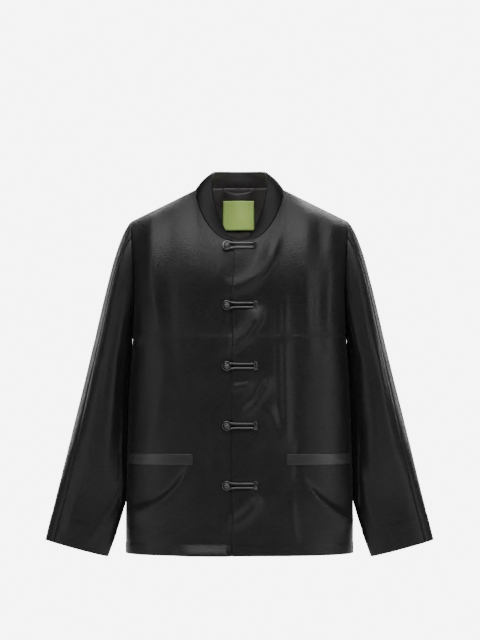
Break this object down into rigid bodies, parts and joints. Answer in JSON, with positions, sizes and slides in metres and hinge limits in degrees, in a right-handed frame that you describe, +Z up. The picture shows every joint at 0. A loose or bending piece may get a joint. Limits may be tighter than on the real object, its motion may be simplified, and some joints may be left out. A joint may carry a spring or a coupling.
{
  "type": "tang jacket",
  "caption": "Hip-length satin tang jacket with a rounded stand collar, knotted frog fastenings down the front, long set-in sleeves and low welt pockets.",
  "frame": {"origin": "centre of the neck, level with the tops of the shoulder seams, where the wearer's shoulders hold the jacket up", "axes": "+Z up, -Y the front, +X the wearer's left"},
  "size_m": [0.7728, 0.2137, 0.77],
  "materials": {
    "satin": "black satin with a soft slubby sheen",
    "lining": "smooth dark plum-grey lining",
    "label": "woven lime green label",
    "cord": "black satin cord"
  },
  "bodies": {
    "root": {"front_left": "satin", "front_right": "satin", "back": "satin", "sleeve_left_front": "satin", "sleeve_left_back": "satin", "sleeve_right_front": "satin", "sleeve_right_back": "satin", "collar_outer": "satin", "collar_inner": "lining", "back_neck_lining": "lining", "neck_label": "label", "hanger_loop": "lining", "pocket_welt_left": "satin", "pocket_welt_right": "satin", "frog_loop_1": "cord", "frog_tab_1": "cord", "frog_knot_1": "cord", "frog_loop_2": "cord", "frog_tab_2": "cord", "frog_knot_2": "cord", "frog_loop_3": "cord", "frog_tab_3": "cord", "frog_knot_3": "cord", "frog_loop_4": "cord", "frog_tab_4": "cord", "frog_knot_4": "cord", "frog_loop_5": "cord", "frog_tab_5": "cord", "frog_knot_5": "cord"}
  },
  "joints": []
}
